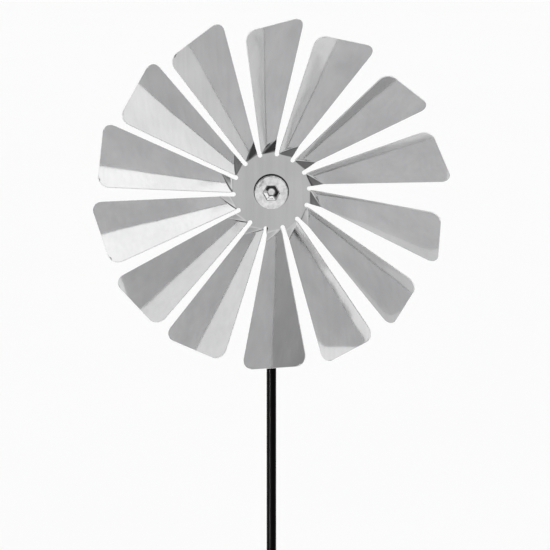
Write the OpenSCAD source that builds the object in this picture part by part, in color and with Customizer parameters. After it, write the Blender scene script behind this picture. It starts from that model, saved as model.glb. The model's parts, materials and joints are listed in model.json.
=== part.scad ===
// Garden windmill: a bent sheet-metal wheel on an axle that turns in two ball
// bearings, carried on a three-piece rod that is pushed into the ground.
// Z is up, the wheel faces -Y, and the origin is on the rod at soil level.
// The wheel and its bearings are drawn in a wheel frame: x to the right, y up
// and z forward, with z = 0 on the rod's own axis.

/* [Wheel] */
// Diameter over the blade tips
wheel_d = 290; // [270:1:310]
// Number of blades
blade_count = 14; // [12:1:16]
// Thickness of the sheet
sheet_t = 1; // [0.8:0.1:1.2]
// Radius at which the slots between the blades end
slot_end_r = 29.2; // [28:0.1:31]
// Width of a slot at its inner end
slot_w = 3.5; // [3:0.1:4]
// Radius at which the root fold meets the trailing edge
fold_r = 43; // [41:0.5:46]
// How far the root fold dips behind the hub at the trailing edge
fold_dip = 6; // [4:0.5:7]
// How far the leading tip corner stands in front of the hub
lead_rise = 50; // [40:1:55]
// How far the trailing tip corner stands in front of the hub
trail_rise = 13; // [8:1:16]
// Length of edge taken up by a rounded tip corner
corner_run = 11; // [8:0.5:14]
// Distance from the rod's axis to the front of the sheet
wheel_offset = 44; // [36:0.5:48]

/* [Axle] */
// Diameter of the axle screw's shank
axle_d = 8; // [8:1:8]
// Diameter of the axle screw's head
head_d = 27.5; // [25:0.5:29]
// Height of the straight side of the head
head_side = 4.5; // [4:0.5:6]
// Height of the dome on the head
head_dome = 1.5; // [1:0.5:3]
// Size across the flats of the hexagon socket
socket_af = 12; // [10:1:12]
// Depth of the hexagon socket
socket_depth = 4.5; // [3:0.5:4.5]
// Diameter of the collar under the head
collar_d = 28.2; // [28:0.1:32]
// Thickness of the collar under the head
collar_t = 1; // [1:0.5:3]
// Thickness of the rubber washer between collar and sheet
rubber_t = 1; // [0.8:0.1:1.5]
// Diameter of the disc that backs the sheet
backing_d = 44; // [36:1:50]
// Thickness of the backing disc
backing_t = 1.5; // [1:0.5:2]

/* [Bearings] */
// Outside diameter of a ball bearing
bearing_od = 22; // [22:1:22]
// Width of a ball bearing
bearing_w = 7; // [7:1:7]
// Number of balls in a bearing
ball_count = 7; // [6:1:7]
// Diameter of a ball
ball_d = 3.8; // [3.6:0.1:3.8]
// Gap between the two bearings
bearing_gap = 8; // [6:1:12]
// Outside diameter of the bearing housing
housing_d = 28; // [27:0.5:30]

/* [Rod] */
// Diameter of the rod
rod_d = 8; // [7:0.5:8]
// Height of the wheel's centre above the soil
hub_height = 855; // [700:5:1100]
// Depth of the rod's tip below the soil
buried = 200; // [150:10:250]
// Length of the upper and of the middle rod section
rod_section = 350; // [250:10:350]
// Length of the ground point
point_len = 18; // [12:1:25]

/* [Hidden] */
$fn = 96;

// Overlap that makes two shapes of one piece grow together
eps = 0.01;
// Radial gap of a close fit between two separate pieces
fit = 0.03;

// Blade corners: the leading edge is the counter-clockwise one, seen from the front
pitch_a = 360 / blade_count;
lead_r = 0.96 * wheel_d / 2;
lead_a = -5.4;
trail_r = 1.019 * wheel_d / 2;
trail_a = 14.5;
// Strips that a blade is divided into across and along
blade_cols = 5;
blade_rows = 6;
corner_rows = 4;
// Straight pieces that the round end of a slot is made of
slot_steps = 6;
// Length of the leading edge that the root fold leaves straight
fold_start = 1.2;

// Places along the axle, measured forward from the rod's axis
sheet_back = wheel_offset - sheet_t;
backing_back = sheet_back - backing_t;
collar_back = wheel_offset + rubber_t;
head_back = collar_back + collar_t;
head_top = head_back + head_side + head_dome;
bearing_near = bearing_gap / 2;
bearing_far = bearing_near + bearing_w;

// How far the rubber washer stands out around the collar
rubber_lip = 0.3;
// Rounding of the head's rim
head_round = 1.2;

// Ball bearing: race shoulders, groove and shields
race_inner_d = 12.1;
race_outer_d = 19;
ball_pcd = (axle_d + bearing_od) / 2;
ball_gap = 0.3;
groove_r = ball_d / 2 + ball_gap;
race_chamfer = 0.3;
shield_t = 0.4;
shield_inset = 0.2;
shield_gap = 0.2;
cage_t = 1.2;
cage_open = 1;
cage_closed = 2.75;
pocket_r = ball_d / 2 + 0.2;

// Retaining rings and the housing around them
ring_t = 1;
ring_w = 2.2;
ring_bite = 0.6;
ring_slack = 0.05;
ring_mouth_a = 40;
housing_end = bearing_far + ring_t + 1.5;
housing_edge = 0.8;
neck_d = 14;
neck_len = 30;
socket_top = 11.5;
grub_d = 5;
grub_z = 22;
grub_len = 6;
grub_af = 2.5;
grub_key_depth = 3;

// Rear end of the axle: spacer, washer and lock nut
rear_spacer_t = housing_end - bearing_far + 1;
washer_t = 1.6;
washer_d = 16;
nut_af = 13;
nut_hex_h = 5.6;
nut_collar_h = 2.4;
nut_collar_d = 11.6;
insert_d = 10;
insert_h = 1.7;
rear_spacer_back = -bearing_far - rear_spacer_t;
washer_back = rear_spacer_back - washer_t;
nut_back = washer_back - nut_hex_h - nut_collar_h;
axle_end = nut_back - 2;
axle_tip_chamfer = 0.8;
spacer_d = 11.5;

// Rod joints
rod_top = hub_height - socket_top;
joint_1 = rod_top - rod_section;
joint_2 = joint_1 - rod_section;
stud_d = 5;
stud_len = 14;
stud_hole = 16;
rod_chamfer = 0.5;
point_r = 0.6;

// Places its children on the wheel's axis, with x right, y up and z forward
module on_axle() {
    translate([0, 0, hub_height]) rotate([90, 0, 0]) children();
}

// Ring from z0 to z1 around the axle
module ring(outer_d, inner_d, z0, z1) {
    translate([0, 0, z0]) difference() {
        cylinder(d = outer_d, h = z1 - z0);
        translate([0, 0, -1]) cylinder(d = inner_d, h = z1 - z0 + 2);
    }
}

// Hexagonal prism with two of its flats level, given by its size across the flats
module hexagon(af, h) {
    cylinder(d = af / cos(30), h = h, $fn = 6);
}

// A point at radius r and angle a clockwise from up, lifted forward by z
function polar(r, a, z) = [r * sin(a), r * cos(a), z];

// A point on the edge of a slot; side is 1 for the blade clockwise of it
function slot_edge(r, a, side, z) = [
    r * sin(a) + side * slot_w / 2 * cos(a),
    r * cos(a) - side * slot_w / 2 * sin(a),
    z
];

function mix(p, q, s) = p * (1 - s) + q * s;

// Turn of the wheel at rest: the uppermost blade stands a little counter-clockwise of upright
rest_turn = -4.4;

// The blades are bent by hand, so each differs from the mean by a few degrees:
// lift tips it forward, twist turns its leading edge forward, swing turns it clockwise
lift = [0.5, -0.5, -1, -1.5, 1.5, 2.5, -1.5, 2, 2.5, 0, -0.5, -2, 0, -2];
twist = [2, -1.5, 1.5, -2, 3.5, 4.5, -0.5, -6.5, 0, 2.5, 0.5, 3, -3.5, -1.5];
swing = [0.5, 0, -0.5, -1, 0, -1, -1.5, 0.5, 1.5, -1, 0, 0.5, 1, 0];

// Corners of the blade's root: on the hub, and along the diagonal fold
slot_centre_r = slot_end_r + slot_w / 2;
root_trail = slot_edge(slot_centre_r, pitch_a / 2, -1, 0);
root_lead = slot_edge(slot_centre_r, -pitch_a / 2, 1, 0);
fold_trail = slot_edge(fold_r, pitch_a / 2, -1, -fold_dip);
fold_lead = slot_edge(slot_centre_r + fold_start, -pitch_a / 2, 1, 0);
fold_mid = (fold_trail + fold_lead) / 2;

// Turns about the three axes of the wheel frame
function about_x(p, a) = [p[0], p[1] * cos(a) - p[2] * sin(a), p[2] * cos(a) + p[1] * sin(a)];
function about_y(p, a) = [p[0] * cos(a) + p[2] * sin(a), p[1], p[2] * cos(a) - p[0] * sin(a)];
function about_z(p, a) = [p[0] * cos(a) - p[1] * sin(a), p[1] * cos(a) + p[0] * sin(a), p[2]];

// A tip corner of blade k, moved by that blade's own differences in bending
function bent(p, k) = fold_mid
    + about_z(about_y(about_x(p - fold_mid, trim(lift, k)), trim(twist, k)), -trim(swing, k));
function trim(list, k) = list[k % len(list)];

// One row of points across a blade, from the trailing to the leading edge
function row(p, q, s0, s1) = [
    for (i = [0 : blade_cols]) mix(p, q, s0 + (s1 - s0) * i / blade_cols)
];

// Rows of blade k from the hub to the tip; straight lines join fold and tip
function blade_grid(k) =
    let (
        tip_trail = bent(polar(trail_r, trail_a, trail_rise), k),
        tip_lead = bent(polar(lead_r, lead_a, lead_rise), k),
        t_corner = 1 - corner_run / norm(tip_lead - fold_lead),
        s_corner = corner_run / norm(tip_lead - tip_trail),
        across = function(t, inset) row(
            mix(fold_trail, tip_trail, t), mix(fold_lead, tip_lead, t), inset, 1 - inset
        )
    )
    concat(
        [row(root_trail, root_lead, 0, 1)],
        [for (j = [0 : blade_rows]) across(t_corner * j / blade_rows, 0)],
        [for (j = [1 : corner_rows])
            let (a = 90 * j / corner_rows)
            across(t_corner + (1 - t_corner) * sin(a), s_corner * (1 - cos(a)))]
    );

// Round end of the slot that follows a blade clockwise, without its two end points
slot_arc = [
    for (i = [1 : slot_steps - 1])
        let (a = 180 * i / slot_steps)
        about_z([
            -slot_w / 2 * cos(a),
            slot_centre_r - slot_w / 2 * sin(a),
            0
        ], -pitch_a / 2)
];

// The sheet as one closed skin: hub, slot ends and blades, flat faces front and back
module sheet_blank() {
    cols = blade_cols + 1;
    last = blade_rows + corner_rows + 1;
    block = cols * (last + 1) + len(slot_arc);
    front = concat([[0, 0, 0]], [
        for (k = [0 : blade_count - 1])
            for (p = concat([for (r = blade_grid(k)) each r], slot_arc))
                about_z(p, -k * pitch_a)
    ]);
    count = len(front);
    at = function(k, j, i) 1 + (k % blade_count) * block + j * cols + i;
    skin = [
        for (k = [0 : blade_count - 1]) for (j = [0 : last - 1]) for (i = [0 : cols - 2])
            each [
                [at(k, j, i), at(k, j, i + 1), at(k, j + 1, i + 1)],
                [at(k, j, i), at(k, j + 1, i + 1), at(k, j + 1, i)]
            ]
    ];
    hub_loop = [
        for (k = [0 : blade_count - 1]) each concat(
            [for (i = [cols - 1 : -1 : 0]) at(k, 0, i)],
            [for (i = [0 : len(slot_arc) - 1]) at(k, last + 1, i)]
        )
    ];
    edge_loop = [
        for (k = [0 : blade_count - 1]) each concat(
            [for (j = [0 : last]) at(k, j, cols - 1)],
            [for (i = [cols - 2 : -1 : 0]) at(k, last, i)],
            [for (j = [last - 1 : -1 : 0]) at(k, j, 0)],
            [for (i = [0 : len(slot_arc) - 1]) at(k, last + 1, i)]
        )
    ];
    hub = [
        for (n = [0 : len(hub_loop) - 1])
            [0, hub_loop[n], hub_loop[(n + 1) % len(hub_loop)]]
    ];
    side = [
        for (n = [0 : len(edge_loop) - 1])
            let (a = edge_loop[n], b = edge_loop[(n + 1) % len(edge_loop)])
            each [[b, a, a + count], [b, a + count, b + count]]
    ];
    faces = concat(skin, hub);
    polyhedron(
        points = concat(front, [for (p = front) p - [0, 0, sheet_t]]),
        faces = concat(faces, [for (f = faces) [f[2] + count, f[1] + count, f[0] + count]], side)
    );
}

module rotor_sheet() {
    color("silver") on_axle() translate([0, 0, wheel_offset]) rotate([0, 0, -rest_turn])
        difference() {
            sheet_blank();
            translate([0, 0, -sheet_t - 1]) cylinder(d = axle_d + 0.2, h = sheet_t + 2);
        }
}

// Half section of the head: straight side, rounded rim and shallow dome
module head_section() {
    dome_r = (pow(head_d / 2, 2) + pow(head_dome, 2)) / (2 * head_dome);
    offset(r = head_round) offset(delta = -head_round) intersection() {
        translate([-head_d / 2, 0]) square([head_d, head_side + head_dome]);
        translate([0, head_side + head_dome - dome_r]) circle(r = dome_r, $fn = 360);
    }
}

// Domed head with a hexagon socket, on a plain shank
module axle_screw() {
    color("gainsboro") on_axle() difference() {
        union() {
            translate([0, 0, head_back]) rotate_extrude() intersection() {
                head_section();
                square([head_d, head_side + head_dome + 1]);
            }
            translate([0, 0, axle_end + axle_tip_chamfer])
                cylinder(d = axle_d - 2 * fit, h = head_back + eps - axle_end - axle_tip_chamfer);
            translate([0, 0, axle_end])
                cylinder(d1 = axle_d - 2 * axle_tip_chamfer, d2 = axle_d - 2 * fit,
                         h = axle_tip_chamfer);
        }
        translate([0, 0, head_top - socket_depth]) hexagon(socket_af, socket_depth + 1);
    }
}

module front_collar() {
    color("silver") on_axle() ring(collar_d, axle_d, collar_back, head_back);
}

module rubber_washer() {
    color("black") on_axle() ring(collar_d + 2 * rubber_lip, axle_d, wheel_offset, collar_back);
}

module backing_disc() {
    color("silver") on_axle() ring(backing_d, axle_d + 2 * fit, backing_back, sheet_back);
}

module front_spacer() {
    color("silver") on_axle() ring(spacer_d, axle_d, bearing_far, backing_back);
}

module bearing_spacer() {
    color("silver") on_axle() ring(spacer_d, axle_d, -bearing_near, bearing_near);
}

module rear_spacer() {
    color("silver") on_axle() ring(spacer_d, axle_d, rear_spacer_back, -bearing_far);
}

module rear_washer() {
    color("silver") on_axle() ring(washer_d, axle_d + 2 * fit, washer_back, rear_spacer_back);
}

// Hexagon nut with a round collar that holds a nylon insert
module lock_nut() {
    color("silver") on_axle() difference() {
        union() {
            translate([0, 0, washer_back - nut_hex_h]) intersection() {
                hexagon(nut_af, nut_hex_h);
                cylinder(d1 = nut_af, d2 = nut_af + 2 * nut_hex_h, h = nut_hex_h);
            }
            translate([0, 0, nut_back]) cylinder(d = nut_collar_d, h = nut_collar_h + eps);
        }
        translate([0, 0, nut_back - 1]) cylinder(d = axle_d, h = washer_back - nut_back + 2);
        translate([0, 0, nut_back + 0.4]) cylinder(d = insert_d, h = insert_h);
    }
}

module lock_nut_insert() {
    color("white") on_axle()
        ring(insert_d, axle_d, nut_back + 0.4, nut_back + 0.4 + insert_h);
}

// Ring with a ball groove, centred on z = 0
module race(outer_d, inner_d) {
    rotate_extrude() difference() {
        translate([inner_d / 2, -bearing_w / 2]) square([(outer_d - inner_d) / 2, bearing_w]);
        translate([ball_pcd / 2, 0]) circle(r = groove_r, $fn = 32);
        for (m = [0, 1]) mirror([0, m]) {
            translate([inner_d / 2, bearing_w / 2]) rotate(45)
                square(race_chamfer * sqrt(2), center = true);
            translate([outer_d / 2, bearing_w / 2]) rotate(45)
                square(race_chamfer * sqrt(2), center = true);
        }
    }
}

// Places its children at the centre of the front (1) or the rear (-1) bearing
module at_bearing(side) {
    on_axle() translate([0, 0, side * (bearing_near + bearing_w / 2)]) children();
}

module inner_race(side) {
    color("lightsteelblue") at_bearing(side) race(race_inner_d, axle_d);
}

module outer_race(side) {
    color("lightsteelblue") at_bearing(side) race(bearing_od, race_outer_d);
}

module balls(side) {
    color("white") at_bearing(side) for (i = [0 : ball_count - 1])
        rotate([0, 0, i * 360 / ball_count]) translate([ball_pcd / 2, 0, 0])
            sphere(d = ball_d, $fn = 32);
}

// Crown cage: closed on the inner side of the pair, open on the outer side
module cage(side) {
    color("darkkhaki") at_bearing(side) scale_side(side) difference() {
        translate([0, 0, -cage_closed])
            difference() {
                cylinder(d = ball_pcd + cage_t, h = cage_closed + cage_open);
                translate([0, 0, -1])
                    cylinder(d = ball_pcd - cage_t, h = cage_closed + cage_open + 2);
            }
        for (i = [0 : ball_count - 1])
            rotate([0, 0, i * 360 / ball_count]) translate([ball_pcd / 2, 0, 0])
                sphere(r = pocket_r, $fn = 32);
    }
}

// Mirrors its children for the rear bearing
module scale_side(side) {
    if (side > 0) children();
    else mirror([0, 0, 1]) children();
}

// Two thin shields that close the gap between the races
module shields(side) {
    edge = bearing_w / 2 - shield_inset;
    color("dimgray") at_bearing(side) for (z = [-edge, edge - shield_t])
        ring(race_outer_d, race_inner_d + 2 * shield_gap, z, z + shield_t);
}

// Open spring ring that snaps into the housing's groove
module retaining_ring(side) {
    outer = bearing_od / 2 + ring_bite - ring_slack;
    z0 = bearing_far + ring_slack;
    color("dimgray") on_axle() scale_side(side) difference() {
        ring(2 * outer, 2 * (outer - ring_w), z0, z0 + ring_t - ring_slack);
        translate([0, 0, z0 - 1]) linear_extrude(ring_t + 2)
            polygon([[0, 0], bearing_od * [sin(ring_mouth_a / 2), cos(ring_mouth_a / 2)],
                     bearing_od * [-sin(ring_mouth_a / 2), cos(ring_mouth_a / 2)]]);
    }
}

// Barrel for the two bearings with a neck that takes the rod
module bearing_housing() {
    seat_d = bearing_od + 2 * fit;
    color("silver") difference() {
        union() {
            on_axle() {
                translate([0, 0, -housing_end + housing_edge])
                    cylinder(d = housing_d, h = 2 * (housing_end - housing_edge));
                for (m = [0, 1]) mirror([0, 0, m]) translate([0, 0, housing_end - housing_edge])
                    cylinder(d1 = housing_d, d2 = housing_d - 2 * housing_edge, h = housing_edge);
            }
            translate([0, 0, hub_height - neck_len]) cylinder(d = neck_d, h = neck_len - socket_top + 1);
        }
        on_axle() {
            cylinder(d = race_outer_d, h = 2 * housing_end + 2, center = true);
            for (m = [0, 1]) mirror([0, 0, m]) {
                translate([0, 0, bearing_near]) cylinder(d = seat_d, h = bearing_w + 10);
                translate([0, 0, bearing_far])
                    cylinder(d = bearing_od + 2 * ring_bite, h = ring_t + ring_slack);
            }
        }
        translate([0, 0, hub_height - neck_len - 1])
            cylinder(d = rod_d + 2 * fit, h = neck_len - socket_top + 1);
        translate([0, 0, hub_height - grub_z]) rotate([-90, 0, 0])
            cylinder(d = grub_d, h = neck_d);
    }
}

module grub_screw() {
    color("dimgray") translate([0, rod_d / 2 + fit, hub_height - grub_z]) rotate([-90, 0, 0])
        difference() {
            cylinder(d = grub_d, h = grub_len);
            translate([0, 0, grub_len - grub_key_depth]) hexagon(grub_af, grub_key_depth + 1);
        }
}

// Plain bar from z0 up to z1 with small chamfers at both ends
module bar(z0, z1) {
    translate([0, 0, z0]) cylinder(d1 = rod_d - 2 * rod_chamfer, d2 = rod_d, h = rod_chamfer);
    translate([0, 0, z0 + rod_chamfer]) cylinder(d = rod_d, h = z1 - z0 - 2 * rod_chamfer);
    translate([0, 0, z1 - rod_chamfer])
        cylinder(d1 = rod_d, d2 = rod_d - 2 * rod_chamfer, h = rod_chamfer);
}

module stud(z) {
    translate([0, 0, z - eps]) cylinder(d = stud_d - 2 * fit, h = stud_len + eps);
}

module stud_bore(z) {
    translate([0, 0, z - 1]) cylinder(d = stud_d, h = stud_hole + 1);
}

module rod_upper() {
    color("black") difference() {
        bar(joint_1, rod_top);
        stud_bore(joint_1);
    }
}

module rod_middle() {
    color("black") {
        difference() {
            bar(joint_2, joint_1);
            stud_bore(joint_2);
        }
        stud(joint_1);
    }
}

// Lowest section, ground to a point
module rod_lower() {
    color("black") {
        bar_top = joint_2;
        shoulder = point_len - buried;
        translate([0, 0, -buried]) cylinder(r1 = point_r, d2 = rod_d, h = point_len);
        translate([0, 0, shoulder]) cylinder(d = rod_d, h = bar_top - rod_chamfer - shoulder);
        translate([0, 0, bar_top - rod_chamfer])
            cylinder(d1 = rod_d, d2 = rod_d - 2 * rod_chamfer, h = rod_chamfer);
        stud(bar_top);
    }
}

rotor_sheet();
axle_screw();
front_collar();
rubber_washer();
backing_disc();
front_spacer();
bearing_spacer();
rear_spacer();
rear_washer();
lock_nut();
lock_nut_insert();
inner_race(1);  // inner_race_front
inner_race(-1);  // inner_race_rear
balls(1);  // balls_front
balls(-1);  // balls_rear
cage(1);  // cage_front
cage(-1);  // cage_rear
outer_race(1);  // outer_race_front
outer_race(-1);  // outer_race_rear
shields(1);  // shields_front
shields(-1);  // shields_rear
retaining_ring(1);  // retaining_ring_front
retaining_ring(-1);  // retaining_ring_rear
bearing_housing();
grub_screw();
rod_upper();
rod_middle();
rod_lower();
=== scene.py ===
"""Looks of the garden windmill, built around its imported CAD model."""
import json
import math

import bmesh
import bpy
import numpy as np
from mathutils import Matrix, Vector


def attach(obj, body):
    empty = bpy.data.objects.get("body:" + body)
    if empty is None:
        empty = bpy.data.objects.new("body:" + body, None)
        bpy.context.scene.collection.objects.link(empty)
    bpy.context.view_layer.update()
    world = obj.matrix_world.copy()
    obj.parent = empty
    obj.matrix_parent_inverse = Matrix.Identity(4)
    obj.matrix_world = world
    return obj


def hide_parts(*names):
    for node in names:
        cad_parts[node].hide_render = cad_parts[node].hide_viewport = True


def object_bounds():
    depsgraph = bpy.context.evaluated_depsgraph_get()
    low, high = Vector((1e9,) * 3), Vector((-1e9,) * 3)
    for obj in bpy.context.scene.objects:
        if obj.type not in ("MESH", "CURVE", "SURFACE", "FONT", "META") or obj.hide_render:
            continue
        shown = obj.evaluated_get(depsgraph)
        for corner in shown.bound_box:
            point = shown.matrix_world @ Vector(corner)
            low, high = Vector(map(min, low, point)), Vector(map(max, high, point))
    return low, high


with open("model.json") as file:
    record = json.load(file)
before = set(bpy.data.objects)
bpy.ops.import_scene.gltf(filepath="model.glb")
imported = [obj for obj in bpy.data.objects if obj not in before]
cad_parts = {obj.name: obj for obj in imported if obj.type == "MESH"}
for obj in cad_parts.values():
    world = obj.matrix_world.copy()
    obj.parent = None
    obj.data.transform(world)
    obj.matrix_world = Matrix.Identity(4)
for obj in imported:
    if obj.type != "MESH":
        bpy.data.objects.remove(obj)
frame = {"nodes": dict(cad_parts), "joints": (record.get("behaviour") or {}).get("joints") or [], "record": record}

cad_low, cad_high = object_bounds()
MM = 0.001

# ---------------------------------------------------------------------------
# Sizes, in millimetres in the wheel frame: x right, y up, z forward from the rod
# ---------------------------------------------------------------------------
HUB = Vector(frame["joints"][0]["pos_m"])
SHEET_FRONT = 44.0
SHEET_T = 1.0
BLADES = 14
PITCH = 360 / BLADES
REST_TURN = -4.4
WHEEL_D = 290.0
LEAD_R, LEAD_A, LEAD_RISE = 0.96 * WHEEL_D / 2, -5.4, 50.0
TRAIL_R, TRAIL_A, TRAIL_RISE = 1.019 * WHEEL_D / 2, 14.5, 13.0
SLOT_END_R, SLOT_W = 29.2, 3.5
SLOT_CENTRE_R = SLOT_END_R + SLOT_W / 2
FOLD_R, FOLD_DIP, FOLD_START = 43.0, 6.0, 1.2
CORNER_RUN = 11.0
BORE_R = 4.1
# Each blade differs a little in how far it is lifted, twisted and swung, in degrees
LIFT = [0.5, -0.5, -1, -1.5, 1.5, 2.5, -1.5, 2, 2.5, 0, -0.5, -2, 0, -2]
TWIST = [2, -1.5, 1.5, -2, 3.5, 4.5, -0.5, -6.5, 0, 2.5, 0.5, 3, -3.5, -1.5]
SWING = [0.5, 0, -0.5, -1, 0, -1, -1.5, 0.5, 1.5, -1, 0, 0.5, 1, 0]
# How far each blade is hollowed across its width, in millimetres
HOLLOW = [0.05, 0.05, 0.05, 0.05, 0.05, 0.05, 0.05, 0.1, 0.05, 0.05, 0.1, 0.05, 0.05, 0.05]
COLLAR_BACK, COLLAR_R = SHEET_FRONT + 1.0, 14.1
RUBBER_LIP, WASHER_ROUND = 0.3, 0.25
HEAD_BACK, HEAD_R, HEAD_SIDE, HEAD_DOME = COLLAR_BACK + 1.0, 13.75, 4.5, 1.5
HEAD_TOP = HEAD_BACK + HEAD_SIDE + HEAD_DOME
SOCKET_AF, SOCKET_WALL, SOCKET_DEPTH = 12.0, 1.9, 4.5
WALL_END = HEAD_TOP - SOCKET_WALL
# The socket's floor is flat up to this share of its width, then slopes up to the wall
SOCKET_FLAT = 0.42
SHANK_R, AXLE_END, THREAD_END = 3.97, -26.1, -12.0
THREAD_PITCH, THREAD_DEPTH, AXLE_CHAMFER = 1.25, 0.55, 0.8


# ---------------------------------------------------------------------------
# Node material helpers
# ---------------------------------------------------------------------------
class Nodes:
    """Short way to build a node tree: each call adds a node and links its inputs."""

    def __init__(self, tree):
        self.tree = tree
        tree.nodes.clear()

    def add(self, kind, inputs=None, **props):
        node = self.tree.nodes.new(kind)
        for key, value in props.items():
            setattr(node, key, value)
        for key, value in (inputs or {}).items():
            socket = node.inputs[key]
            if isinstance(value, bpy.types.NodeSocket):
                self.tree.links.new(value, socket)
            else:
                socket.default_value = value
        return node

    def math(self, operation, a, b=0.0):
        return self.add("ShaderNodeMath", {0: a, 1: b}, operation=operation).outputs[0]

    def remap(self, value, low, high, to_low, to_high, smooth=False):
        inputs = {"Value": value, "From Min": low, "From Max": high,
                  "To Min": to_low, "To Max": to_high}
        kind = "SMOOTHSTEP" if smooth else "LINEAR"
        return self.add("ShaderNodeMapRange", inputs, interpolation_type=kind).outputs["Result"]

    def position(self, scale=(1, 1, 1)):
        """The object's own coordinates, stretched by scale."""
        where = self.add("ShaderNodeTexCoord").outputs["Object"]
        node = self.add("ShaderNodeMapping", {"Vector": where, "Scale": scale})
        return node.outputs["Vector"]

    def noise(self, vector, scale, detail=2.0, roughness=0.5):
        inputs = {"Vector": vector, "Scale": scale, "Detail": detail, "Roughness": roughness}
        return self.add("ShaderNodeTexNoise", inputs).outputs["Fac"]

    def mix(self, factor, a, b):
        node = self.add("ShaderNodeMix", data_type="RGBA")
        for socket, value in ((node.inputs[0], factor), (node.inputs[6], a), (node.inputs[7], b)):
            if isinstance(value, bpy.types.NodeSocket):
                self.tree.links.new(value, socket)
            else:
                socket.default_value = value
        return node.outputs[2]

    def bump(self, height, strength, distance, over=None):
        """Bumped normal, laid over another one if that is given."""
        inputs = {"Height": height, "Strength": strength, "Distance": distance}
        if over:
            inputs["Normal"] = over
        return self.add("ShaderNodeBump", inputs).outputs["Normal"]

    def finish(self, **inputs):
        shader = self.add("ShaderNodeBsdfPrincipled", inputs)
        self.add("ShaderNodeOutputMaterial", {"Surface": shader.outputs[0]})


def material(name):
    made = bpy.data.materials.new(name)
    made.use_nodes = True
    return made, Nodes(made.node_tree)


def grey(value):
    return (value, value, value, 1.0)


def polished_sheet():
    """Polished stainless sheet: upright rolling grain, slight waves, slow changes in tone."""
    made, n = material("polished_sheet")
    grain = n.noise(n.position((900, 900, 12)), 1.0, 3.0, 0.6)
    streak = n.noise(n.position((260, 260, 7)), 1.0, 3.0, 0.6)
    cloud = n.noise(n.position(), 30.0, 2.0, 0.5)
    wave = n.noise(n.position((34, 34, 17)), 1.0, 1.0, 0.4)
    tone = n.math("ADD", n.remap(streak, 0.3, 0.7, -0.3, 0.3), n.remap(cloud, 0.3, 0.7, 0.0, 1.0))
    dull, bright = (0.55, 0.551, 0.555, 1), (0.61, 0.61, 0.614, 1)
    colour = n.mix(n.remap(tone, 0.0, 1.0, 0.0, 1.0), dull, bright)
    rough = n.math("ADD", n.remap(grain, 0.3, 0.7, 0.06, 0.09), n.remap(cloud, 0.3, 0.7, 0.0, 0.03))
    waved = n.bump(wave, 0.3, 0.0012)
    n.finish(**{"Base Color": colour, "Metallic": 1.0, "Roughness": rough,
                "Normal": n.bump(grain, 0.2, 0.00005, waved)})
    return made


def cut_edge():
    """Freshly sheared rim of the sheet: brighter and duller than its faces."""
    made, n = material("cut_edge")
    fine = n.noise(n.position(), 2500.0, 2.0, 0.6)
    n.finish(**{"Base Color": n.mix(fine, grey(0.84), grey(0.94)), "Metallic": 0.15,
                "Roughness": n.remap(fine, 0.3, 0.7, 0.45, 0.6)})
    return made


def polished_screw():
    """Plated screw: bright, with handling marks, and painted shade on one side of its socket."""
    made, n = material("polished_screw")
    cloud = n.noise(n.position(), 260.0, 3.0, 0.6)
    fine = n.noise(n.position(), 1500.0, 2.0, 0.6)
    # Painted shade lies in the socket, behind its straight walls, towards the upper right: a near-black, dull
    # patch that stands in for the shade in the recess
    place = n.add("ShaderNodeSeparateXYZ", {0: n.position()}).outputs
    up = n.math("SUBTRACT", place[2], HUB.z)
    square = n.math("ADD", n.math("MULTIPLY", place[0], place[0]), n.math("MULTIPLY", up, up))
    radius = n.math("SQRT", square)
    aside = n.math("ADD", n.math("MULTIPLY", place[0], 0.6), n.math("MULTIPLY", up, 0.8))
    deep = n.remap(place[1], (0.1 - WALL_END) * MM, (0.7 - WALL_END) * MM, 0.0, 1.0, smooth=True)
    ahead = n.remap(place[1], -HEAD_BACK * MM, (1 - HEAD_BACK) * MM, 1.0, 0.0, smooth=True)
    corner = n.math("MULTIPLY", n.remap(radius, 0.0022, 0.0036, 0.0, 1.0, smooth=True),
                    n.remap(radius, 0.009, 0.01, 1.0, 0.0))
    uneven = n.math("ADD", aside, n.math("MULTIPLY", cloud, 0.002))
    side = n.remap(uneven, -0.0016, 0.0008, 0.0, 1.0, smooth=True)
    socket_shade = n.math("MULTIPLY", n.math("MULTIPLY", deep, ahead), n.math("MULTIPLY", corner, side))
    blotch = n.noise(n.position(), 230.0, 2.0, 0.6)
    dull, bright = (0.74, 0.74, 0.745, 1), (0.98, 0.98, 0.985, 1)
    steel = n.mix(n.remap(blotch, 0.35, 0.65, 0.0, 1.0), dull, bright)
    worn = n.remap(cloud, 0.3, 0.7, 0.07, 0.13)
    # Where the painted shade in the socket lies, the steel turns near-black, dull and no longer metallic
    n.finish(**{"Base Color": n.mix(socket_shade, steel, grey(0.012)),
                "Metallic": n.remap(socket_shade, 0.0, 1.0, 1.0, 0.0),
                "Roughness": n.math("ADD", worn, n.math("MULTIPLY", socket_shade, 0.5)),
                "Normal": n.bump(fine, 0.1, 0.00004, n.bump(cloud, 0.5, 0.0004))})
    return made


def turned_steel():
    """Dull steel with fine marks round its axis."""
    made, n = material("turned_steel")
    fine = n.noise(n.position((60, 2600, 60)), 1.0, 2.0, 0.5)
    n.finish(**{"Base Color": n.mix(fine, (0.5, 0.5, 0.51, 1), (0.62, 0.62, 0.63, 1)),
                "Metallic": 1.0, "Roughness": n.remap(fine, 0.3, 0.7, 0.2, 0.32),
                "Normal": n.bump(fine, 0.15, 0.00005)})
    return made


def bearing_steel():
    """Ground and hardened steel, with finer and brighter marks."""
    made, n = material("bearing_steel")
    fine = n.noise(n.position((40, 1800, 40)), 1.0, 2.0, 0.5)
    n.finish(**{"Base Color": n.mix(fine, (0.6, 0.61, 0.62, 1), (0.7, 0.71, 0.72, 1)),
                "Metallic": 1.0, "Roughness": n.remap(fine, 0.3, 0.7, 0.08, 0.16)})
    return made


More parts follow.
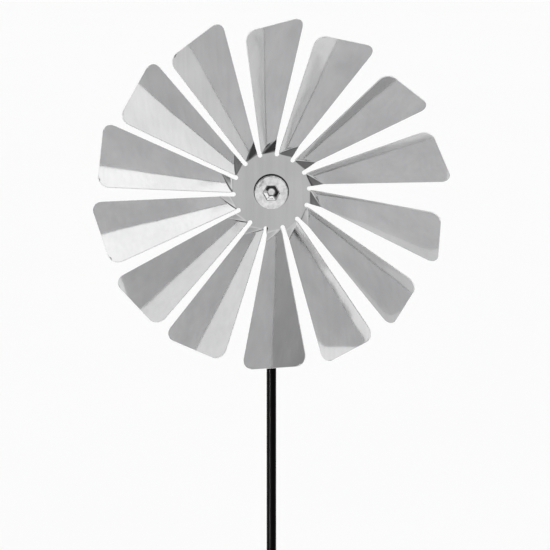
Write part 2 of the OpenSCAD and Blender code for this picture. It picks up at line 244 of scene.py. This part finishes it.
def spring_steel():
    """Blackened, lightly oiled steel."""
    made, n = material("spring_steel")
    fine = n.noise(n.position(), 900.0, 3.0, 0.6)
    n.finish(**{"Base Color": n.mix(fine, (0.03, 0.03, 0.034, 1), (0.07, 0.07, 0.075, 1)),
                "Metallic": 0.8, "Roughness": n.remap(fine, 0.3, 0.7, 0.3, 0.45)})
    return made


def black_coating():
    """Gloss powder coating with a fine orange peel."""
    made, n = material("black_coating")
    peel = n.noise(n.position(), 700.0, 2.0, 0.5)
    cloud = n.noise(n.position((30, 30, 6)), 1.0, 2.0, 0.5)
    n.finish(**{"Base Color": n.mix(cloud, grey(0.0006), grey(0.0012)),
                "Roughness": n.remap(cloud, 0.3, 0.7, 0.12, 0.17),
                "Specular IOR Level": 0.03,
                "Normal": n.bump(peel, 0.1, 0.0001)})
    return made


def rubber():
    """Matt black rubber."""
    made, n = material("rubber")
    fine = n.noise(n.position(), 1400.0, 3.0, 0.6)
    n.finish(**{"Base Color": n.mix(fine, grey(0.018), grey(0.032)),
                "Roughness": n.remap(fine, 0.3, 0.7, 0.6, 0.8),
                "Normal": n.bump(fine, 0.2, 0.0001)})
    return made


def nylon():
    """Cream nylon that lets a little light in."""
    made, n = material("nylon")
    cloud = n.noise(n.position(), 400.0, 2.0, 0.5)
    n.finish(**{"Base Color": n.mix(cloud, (0.74, 0.71, 0.62, 1), (0.8, 0.78, 0.7, 1)),
                "Roughness": n.remap(cloud, 0.3, 0.7, 0.35, 0.5),
                "Subsurface Weight": 0.1, "Normal": n.bump(cloud, 0.1, 0.0001)})
    return made


FINISHES = {
    make.__name__: make()
    for make in (polished_sheet, cut_edge, polished_screw, turned_steel, bearing_steel,
                 spring_steel, black_coating, rubber, nylon)
}
for part in frame["record"]["subparts"]:
    mesh = frame["nodes"][part["node"]].data
    mesh.materials.clear()
    mesh.materials.append(FINISHES[part["material_slot"]])


# ---------------------------------------------------------------------------
# The wheel
# ---------------------------------------------------------------------------
def to_row(points):
    """Wheel-frame millimetres to metres in the row frame."""
    p = np.asarray(points, float)
    return np.stack([p[:, 0], -p[:, 2], p[:, 1]], 1) * MM + np.array(HUB)


def turn_z(points, degrees):
    """Points turned clockwise about the axle by that angle."""
    p = np.atleast_2d(np.asarray(points, float))
    c, s = math.cos(math.radians(degrees)), math.sin(math.radians(degrees))
    return np.stack([p[:, 0] * c + p[:, 1] * s, p[:, 1] * c - p[:, 0] * s, p[:, 2]], 1)


def polar(r, a, z):
    return np.array([r * math.sin(math.radians(a)), r * math.cos(math.radians(a)), z])


def slot_edge(r, a, side, z):
    """A point on a slot's edge; side is 1 for the blade clockwise of the slot."""
    c, s = math.cos(math.radians(a)), math.sin(math.radians(a))
    return np.array([r * s + side * SLOT_W / 2 * c, r * c - side * SLOT_W / 2 * s, z])


ROOT_TRAIL = slot_edge(SLOT_CENTRE_R, PITCH / 2, -1, 0)
ROOT_LEAD = slot_edge(SLOT_CENTRE_R, -PITCH / 2, 1, 0)
FOLD_TRAIL = slot_edge(FOLD_R, PITCH / 2, -1, -FOLD_DIP)
FOLD_LEAD = slot_edge(SLOT_CENTRE_R + FOLD_START, -PITCH / 2, 1, 0)
FOLD_MID = (FOLD_TRAIL + FOLD_LEAD) / 2


def bent(p, k):
    """A tip corner of blade k with that blade's own lift, twist and swing."""
    x, y, z = p - FOLD_MID
    a, b = math.radians(LIFT[k]), math.radians(TWIST[k])
    y, z = y * math.cos(a) - z * math.sin(a), z * math.cos(a) + y * math.sin(a)
    x, z = x * math.cos(b) + z * math.sin(b), z * math.cos(b) - x * math.sin(b)
    return FOLD_MID + turn_z((x, y, z), SWING[k])[0]


# Mesh of a blade: columns across it, rows along it, rows in its rounded corners,
# steps in each bend and in the round end of a slot
COLS, ROWS, CORNER_ROWS, BEND_STEPS, ARC_STEPS = 24, 26, 10, 7, 12
# Distance of the holding points from an edge, and the radius of the sheet's rims
EDGE_HOLD, EDGE_R = 0.25, 0.1
# The sheet first bends at this share of the way from the hub's edge to the fold
ROOT_BEND = 0.2
# How far the fold's bend reaches each way, and a length that gives the direction of the hub
FOLD_RUN, HUB_RUN = 1.1, 4.0


def crease(a, b, c, run, hold, steps):
    """Points of a round bend at b on the path a-b-c, with a flat holding point on each side."""
    back, ahead = (a - b) / np.linalg.norm(a - b), (c - b) / np.linalg.norm(c - b)
    start, end = b + back * run, b + ahead * run
    curve = [(1 - u) ** 2 * start + 2 * u * (1 - u) * b + u * u * end
             for u in np.linspace(0, 1, steps)]
    return [start + back * hold] + curve + [end + ahead * hold]


def blade_shares(length, width):
    """Places along the blade and how far each row is drawn in at a rounded corner."""
    corner_t = 1 - CORNER_RUN / length
    angles = np.linspace(0, math.pi / 2, CORNER_ROWS + 1)[1:]
    rows = [(corner_t * j / ROWS, 0.0) for j in range(1, ROWS + 1)]
    drawn = CORNER_RUN / width
    return rows + [(corner_t + (1 - corner_t) * math.sin(a), drawn * (1 - math.cos(a)))
                   for a in angles]


def columns(width):
    """Shares across a blade, with a holding column close to each edge."""
    held = EDGE_HOLD / width
    return np.concatenate([[0.0], np.linspace(held, 1 - held, COLS - 1), [1.0]])


def root_path(s, far):
    """Section through the root at share s: hub, curved root, fold, start of the blade."""
    root = ROOT_TRAIL + (ROOT_LEAD - ROOT_TRAIL) * s
    fold = FOLD_TRAIL + (FOLD_LEAD - FOLD_TRAIL) * s
    ahead = (fold - root) * np.array([1.0, 1.0, 0.0])
    reach = np.linalg.norm(ahead)
    turn_at = root + ahead * ROOT_BEND
    inward = turn_at - polar(HUB_RUN, PITCH * (0.5 - s), 0.0)
    path = crease(inward, turn_at, fold, ROOT_BEND * reach, 0.025 * reach, BEND_STEPS)
    run, hold = min(FOLD_RUN, 0.3 * reach), min(0.3, 0.1 * reach)
    return path + crease(turn_at, fold, far, run, hold, BEND_STEPS)


def blade_grid(k):
    """Front surface of blade k as rows of points from hub to tip, trailing edge first."""
    tip_trail = bent(polar(TRAIL_R, TRAIL_A, TRAIL_RISE), k)
    tip_lead = bent(polar(LEAD_R, LEAD_A, LEAD_RISE), k)
    tip_w = np.linalg.norm(tip_lead - tip_trail)
    facing = np.cross(tip_lead - tip_trail, FOLD_MID - tip_trail)
    facing /= np.linalg.norm(facing)
    root_w = np.linalg.norm(ROOT_LEAD - ROOT_TRAIL)
    sections = [root_path(s, tip_trail + (tip_lead - tip_trail) * s) for s in columns(root_w)]
    rows = [[section[j] for section in sections] for j in range(len(sections[0]))]
    for t, inset in blade_shares(np.linalg.norm(tip_lead - FOLD_LEAD), tip_w):
        p = FOLD_TRAIL + (tip_trail - FOLD_TRAIL) * t
        q = FOLD_LEAD + (tip_lead - FOLD_LEAD) * t
        across = inset + (1 - 2 * inset) * columns(np.linalg.norm(q - p))
        # The hollow grows over the first third of the blade
        depth = 4 * HOLLOW[k] * across * (1 - across) * min(1.0, 3 * t)
        rows.append([p + (q - p) * s - facing * d for s, d in zip(across, depth)])
    return rows


def slot_arc(gap):
    """Round end of the slot after a blade, drawn the given distance outside its edge."""
    r = SLOT_W / 2 + gap
    return [
        turn_z((-r * math.cos(a), SLOT_CENTRE_R - r * math.sin(a), 0), PITCH / 2)[0]
        for a in np.linspace(0, math.pi, ARC_STEPS + 1)[1:-1]
    ]


class Skin:
    """Points and faces of a surface, gathered in millimetres."""

    def __init__(self):
        self.points, self.faces = [], []

    def add(self, points):
        first = len(self.points)
        self.points += [np.asarray(p, float) for p in points]
        return list(range(first, len(self.points)))

    def strip(self, near, far, closed=False):
        """Quads between two rows of points of the same length."""
        pairs = list(zip(near, far))
        ends = pairs[1:] + pairs[:1] if closed else pairs[1:]
        self.faces += [(a, b, d, c) for (a, b), (c, d) in zip(pairs, ends)]


def wheel_skin():
    """Front surface of the whole sheet: hub, slot ends and blades."""
    skin = Skin()
    roots, arcs, held_arcs = [], [], []
    for k in range(BLADES):
        turn = k * PITCH + REST_TURN
        rows = [skin.add(turn_z(row, turn)) for row in blade_grid(k)]
        for near, far in zip(rows, rows[1:]):
            skin.strip(near, far)
        roots.append(rows[0])
        arcs.append(skin.add(turn_z(slot_arc(0.0), turn)))
        held_arcs.append(skin.add(turn_z(slot_arc(EDGE_HOLD), turn)))
    ring = []
    for k in range(BLADES):
        after = roots[(k + 1) % BLADES]
        edge = [roots[k][0]] + arcs[k] + [after[-1]]
        held = [roots[k][1]] + held_arcs[k] + [after[-2]]
        skin.strip(edge, held)
        ring += roots[k][-2:0:-1] + held_arcs[k]
    around = [math.atan2(skin.points[i][1], skin.points[i][0]) for i in ring]
    for r in (BORE_R + EDGE_HOLD, BORE_R):
        inner = skin.add([(r * math.cos(a), r * math.sin(a), 0.0) for a in around])
        skin.strip(ring, inner, closed=True)
        ring = inner
    return np.array(skin.points), skin.faces


def point_normals(points, faces):
    """Normals at the points, each face counted by its angle there."""
    normals = np.zeros_like(points)
    for face in faces:
        corners = points[list(face)]
        flat = np.cross(corners[2] - corners[0], corners[3 % len(face)] - corners[1])
        flat /= np.linalg.norm(flat) + 1e-12
        before = np.roll(corners, 1, 0) - corners
        after = np.roll(corners, -1, 0) - corners
        lengths = np.linalg.norm(before, axis=1) * np.linalg.norm(after, axis=1) + 1e-12
        cosine = (before * after).sum(1) / lengths
        normals[list(face)] += np.arccos(np.clip(cosine, -1, 1))[:, None] * flat
    return normals / np.linalg.norm(normals, axis=1)[:, None]


def boundary_loops(faces):
    """Closed loops of points along the edges that only one face uses."""
    following = {}
    for face in faces:
        for a, b in zip(face, face[1:] + face[:1]):
            following[a, b] = True
    after = {a: b for a, b in following if (b, a) not in following}
    loops = []
    while after:
        start, here = after.popitem()
        loop = [start]
        while here != start:
            loop.append(here)
            here = after.pop(here)
        loops.append(loop)
    return loops


def thick_sheet(points, faces, thickness, edge_r, edge_steps=3):
    """Closed plate behind a front surface, with rounded rims that come last in its faces."""
    normals = point_normals(points, faces)
    front = points.copy()
    solid = Skin()
    loops = boundary_loops(faces)
    rims = []
    for loop in loops:
        here = points[loop]
        along = np.roll(here, -1, 0) - np.roll(here, 1, 0)
        along /= np.linalg.norm(along, axis=1)[:, None]
        outward = np.cross(along, normals[loop])
        front[loop] = here - outward * edge_r
        rims.append(outward)
    solid.add(front)
    back = solid.add(front - normals * thickness)
    solid.faces += faces
    solid.faces += [tuple(back[i] for i in reversed(face)) for face in faces]
    turns = np.linspace(0, math.pi / 2, edge_steps + 1)[1:]
    rim = [(math.sin(a), edge_r * (1 - math.cos(a))) for a in turns]
    rim += [(math.sin(a), thickness - edge_r * (1 - math.cos(a))) for a in math.pi / 2 - turns[:-1]]
    for loop, outward in zip(loops, rims):
        rows = [loop]
        for out, down in rim:
            rows.append(solid.add(front[loop] + outward * edge_r * out - normals[loop] * down))
        rows.append([back[i] for i in loop])
        for upper, lower in zip(rows, rows[1:]):
            solid.strip(upper, lower, closed=True)
    return np.array(solid.points), solid.faces


def mesh_piece(name, points, faces, body, slot, replaced, extra=None, first_extra=0):
    """A smooth mesh object riding on a body in place of CAD nodes.

    Faces from first_extra on take the extra finish.
    """
    mesh = bpy.data.meshes.new(name)
    mesh.from_pydata([tuple(p) for p in points], [], [tuple(f) for f in faces])
    bm = bmesh.new()
    bm.from_mesh(mesh)
    bmesh.ops.recalc_face_normals(bm, faces=bm.faces)
    bm.to_mesh(mesh)
    bm.free()
    mesh.shade_smooth()
    mesh.materials.append(FINISHES[slot])
    if extra:
        mesh.materials.append(FINISHES[extra])
        for face in mesh.polygons[first_extra:]:
            face.material_index = 1
    piece = bpy.data.objects.new(name, mesh)
    bpy.context.scene.collection.objects.link(piece)
    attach(piece, body)
    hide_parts(*replaced)


def wheel_sheet():
    """The wheel in one piece, its rims in the brighter finish of a cut edge."""
    skin_points, skin_faces = wheel_skin()
    points, faces = thick_sheet(skin_points, skin_faces, SHEET_T, EDGE_R)
    points[:, 2] += SHEET_FRONT
    mesh_piece("wheel_sheet", to_row(points), faces, "rotor", "polished_sheet", ["rotor_sheet"],
               "cut_edge", 2 * len(skin_faces))


wheel_sheet()


# ---------------------------------------------------------------------------
# Axle screw, collar and rubber washer
# ---------------------------------------------------------------------------
AROUND = 180
# A hexagon's corners end at this multiple of its inner radius
CORNER_CUT = 1.13


def rounded(corners, steps=6, hold=0.12):
    """Profile through (r, z, radius) corners, each rounded and held flat on both sides."""
    places = [np.array(c[:2]) for c in corners]
    path = [places[0]]
    for before, here, after, (*_, radius) in zip(places, places[1:], places[2:], corners[1:]):
        if not radius:
            path.append(here)
            continue
        back, ahead = (p - here for p in (before, after))
        run = min(radius, 0.42 * np.linalg.norm(back), 0.42 * np.linalg.norm(ahead))
        path += crease(before, here, after, run, min(hold, 0.1 * run), steps)
    return path + [places[-1]]


def circle_ring(r, z):
    """Ring of that radius about the axle."""
    a = np.linspace(0, 2 * math.pi, AROUND, endpoint=False)
    return np.stack([r * np.cos(a), r * np.sin(a), np.full(AROUND, z)], 1)


def hexagon_ring(af, z):
    """Ring on a hexagon with corners to the left and right, each cut off a little."""
    a = np.arange(AROUND) * 360 / AROUND
    r = af / 2 / np.cos(np.radians((a % 60) - 30))
    r = np.minimum(r, af / 2 * CORNER_CUT)
    a = np.radians(a)
    return np.stack([r * np.cos(a), r * np.sin(a), np.full(AROUND, z)], 1)


def turned_piece(name, rings, slot, replaced, closed=False):
    """Surface through rings about the axle; ends in points or closes on itself."""
    skin = Skin()
    rows = [skin.add(ring) for ring in rings]
    for near, far in zip(rows, rows[1:]):
        skin.strip(near, far, closed=True)
    if closed:
        skin.strip(rows[-1], rows[0], closed=True)
    else:
        for row, ring in ((rows[0], rings[0]), (rows[-1], rings[-1])):
            centre = skin.add([(0.0, 0.0, ring[:, 2].mean())])[0]
            ends = row[1:] + row[:1]
            skin.faces += [(a, b, centre) for a, b in zip(row, ends)]
    mesh_piece(name, to_row(np.array(skin.points)), skin.faces, "rotor", slot, replaced)


def dome_z(r):
    """Height of the head's face at radius r."""
    sphere_r = (HEAD_R ** 2 + HEAD_DOME ** 2) / (2 * HEAD_DOME)
    return HEAD_TOP - sphere_r + math.sqrt(sphere_r ** 2 - r ** 2)


def head_rings():
    """Rings of the screw from the centre of its socket over the face and down the shank."""
    floor_z, wall_z = HEAD_TOP - SOCKET_DEPTH, WALL_END
    mouth = dome_z(SOCKET_AF / 2)
    rings = [hexagon_ring(SOCKET_AF * f, floor_z) for f in (0.02, 0.2, 0.4)]
    for f in (0.46, 0.6, 0.8, 0.9, 0.985):
        climbed = (f - SOCKET_FLAT) / (1 - SOCKET_FLAT)
        rings.append(hexagon_ring(SOCKET_AF * f, floor_z + (wall_z - floor_z) * climbed))
    heights = (wall_z + 0.08, wall_z + 0.2, mouth - 0.75, mouth - 0.6)
    rings += [hexagon_ring(SOCKET_AF, z) for z in heights]
    rings += [hexagon_ring(SOCKET_AF + wider, mouth - below)
              for wider, below in ((0.25, 0.4), (0.7, 0.12))]
    flat = hexagon_ring(SOCKET_AF + 1.1, 0.0)
    flat[:, 2] = [dome_z(r) for r in np.hypot(flat[:, 0], flat[:, 1])]
    rings.append(flat)
    face_r = HEAD_R - 2.0
    rings += [circle_ring(r, dome_z(r)) for r in np.linspace(8.3, face_r, 6)]
    rim = [(face_r, dome_z(face_r), 0), (HEAD_R, dome_z(HEAD_R - 0.4), 0.8),
           (HEAD_R, HEAD_BACK, 0.7), (SHANK_R, HEAD_BACK, 0.2), (SHANK_R, THREAD_END, 0)]
    rings += [circle_ring(r, z) for r, z in rounded(rim)[1:]]
    turns = int((THREAD_END - AXLE_END - AXLE_CHAMFER) / THREAD_PITCH)
    for turn in range(turns):
        top = THREAD_END - turn * THREAD_PITCH
        rings += [circle_ring(SHANK_R - THREAD_DEPTH, top - 0.5 * THREAD_PITCH),
                  circle_ring(SHANK_R, top - 0.95 * THREAD_PITCH)]
    return rings + [circle_ring(SHANK_R - AXLE_CHAMFER, AXLE_END)]


def washer_rings(r, back, front, rounding):
    """Flat ring on the axle with rounded rims."""
    inner = SHANK_R + 0.03
    corners = [(inner, (back + front) / 2, 0), (inner, front, 0.2), (r, front, rounding),
               (r, back, rounding), (inner, back, 0.2), (inner, back + 0.3 * (front - back), 0)]
    return [circle_ring(*place) for place in rounded(corners)]


turned_piece("axle_screw_turned", head_rings(), "polished_screw", ["axle_screw"])
# The collar is a real part, but it takes the blackened finish, and the rubber shows a lip past it. Together they
# draw a dark ring round the head: painted shade standing in for the shadow gap between head, collar and sheet
collar_rings = washer_rings(COLLAR_R, COLLAR_BACK, HEAD_BACK, WASHER_ROUND)
turned_piece("collar_turned", collar_rings, "spring_steel", ["front_collar"], closed=True)
rubber_rings = washer_rings(COLLAR_R + RUBBER_LIP, SHEET_FRONT, COLLAR_BACK, WASHER_ROUND)
turned_piece("rubber_moulded", rubber_rings, "rubber", ["rubber_washer"], closed=True)


# ---------------------------------------------------------------------------
# Floor, light and camera
# ---------------------------------------------------------------------------
def floor():
    """Wide pale floor just under the point of the rod. Polished metal doesn't mirror it."""
    size = 40.0
    z = cad_low.z - 0.5 * MM
    corners = [(-size, -size, z), (size, -size, z), (size, size, z), (-size, size, z)]
    mesh = bpy.data.meshes.new("floor")
    mesh.from_pydata(corners, [], [(0, 1, 2, 3)])
    made = bpy.data.objects.new("floor", mesh)
    bpy.context.scene.collection.objects.link(made)
    finish, n = material("floor")
    fine = n.noise(n.position(), 3.0, 2.0, 0.5)
    n.finish(**{"Base Color": n.mix(fine, grey(0.95), grey(0.96)), "Roughness": 0.9})
    mesh.materials.append(finish)
    made.visible_glossy = False


# Studio seen by polished metal: azimuth and elevation of each soft box or flag from the
# object, its inner and outer radius in degrees, and how bright it is. Later ones lie on top.
STUDIO = [
    (180, 5, 60, 95, 1.25),
    (-60, -82, 25, 50, 0.86),
    (50, 62, 30, 50, 1.5),
    (-64, 56, 14, 34, 1.11),
    (-100, -48, 20, 34, 0.83),
    (-80, -14, 8, 18, 1.2),
    (-73, 17, 5, 19, 0.48),
    (73, 18, 7, 14, 1.25),
    (82, -18, 12, 24, 0.92),
    (82, -55, 11, 20, 1.02),
    (96, -76, 4, 14, 0.58),
    (0, -5, 65, 72, 0.22),
    (-20, -62, 30, 42, 1.02),
    (-52, -16, 11, 19, 1.05),
    (55, -44, 10, 20, 0.9),
    (0, -15, 20, 42, 0.78),
    (38, 4, 9, 15, 0.1),
    (-22, 10, 6, 12, 0.3),
    (-20, 50, 12, 18, 0.06),
    (-46, 36, 10, 17, 0.08),
    (-52, 17, 6, 12, 0.3),
    (132, -31, 7, 14, 0.78),
    (-150, -9, 5, 13, 0.98),
    (-165, -37, 6, 16, 1.12),
    (-176, 14, 4, 9, 1.13),
]
BACKGROUND = 1.05


def studio():
    """Soft studio as a world; the camera itself sees an even pale background."""
    world = bpy.data.worlds.new("studio")
    bpy.context.scene.world = world
    world.use_nodes = True
    n = Nodes(world.node_tree)
    direction = n.add("ShaderNodeTexCoord").outputs["Generated"]
    tone = 1.0
    for azimuth, elevation, inner, outer, level in STUDIO:
        a, e = math.radians(azimuth), math.radians(elevation)
        axis = (math.sin(a) * math.cos(e), -math.cos(a) * math.cos(e), math.sin(e))
        near = n.add("ShaderNodeVectorMath", {0: direction, 1: axis}, operation="DOT_PRODUCT")
        share = n.remap(near.outputs["Value"], math.cos(math.radians(outer)),
                        math.cos(math.radians(inner)), 0.0, 1.0, smooth=True)
        mixer = n.add("ShaderNodeMix", {0: share, 2: tone, 3: level}, data_type="FLOAT")
        tone = mixer.outputs[0]
    camera_ray = n.add("ShaderNodeLightPath").outputs["Is Camera Ray"]
    shown = n.add("ShaderNodeMix", {0: camera_ray, 2: tone, 3: BACKGROUND}, data_type="FLOAT")
    light = n.add("ShaderNodeBackground", {"Color": shown.outputs[0], "Strength": 1.0})
    n.add("ShaderNodeOutputWorld", {"Surface": light.outputs[0]})


def camera():
    """Long lens, 8.8 degrees above the hub, framed on the wheel and the top of the rod."""
    hub = HUB + Vector((0, -SHEET_FRONT * MM, 0))
    distance, above = 4.08, math.radians(8.8)
    frame_w = 0.4488
    right, down = 0.0030, 0.0682
    data = bpy.data.cameras.new("camera")
    data.sensor_width = 36.0
    data.lens = data.sensor_width * distance / frame_w
    data.clip_start, data.clip_end = 0.1, 200.0
    made = bpy.data.objects.new("camera", data)
    bpy.context.scene.collection.objects.link(made)
    made.location = hub + distance * Vector((0, -math.cos(above), math.sin(above)))
    tilt = math.pi / 2 - above - math.atan(down / distance)
    made.rotation_euler = (tilt, 0, -math.atan(right / distance))
    bpy.context.scene.camera = made


def rod_light():
    """Upright strip light that is linked to the black rod only."""
    watts, azimuth, distance, height = 500.0, -36.0, 2.0, 0.9
    data = bpy.data.lights.new("rod_strip", "AREA")
    data.shape, data.size, data.size_y, data.energy = "RECTANGLE", 0.12, 2.4, watts
    lamp = bpy.data.objects.new("rod_strip", data)
    bpy.context.scene.collection.objects.link(lamp)
    turned = math.radians(azimuth)
    lamp.location = (distance * math.sin(turned), -distance * math.cos(turned), height)
    lamp.rotation_euler = (math.pi / 2, 0, -turned)
    lit = bpy.data.collections.new("rod_strip_lights")
    for name in ("rod_upper", "rod_middle", "rod_lower"):
        lit.objects.link(frame["nodes"][name])
    lamp.light_linking.receiver_collection = lit


floor()
studio()
rod_light()
camera()
bpy.context.scene.view_settings.view_transform = "Standard"
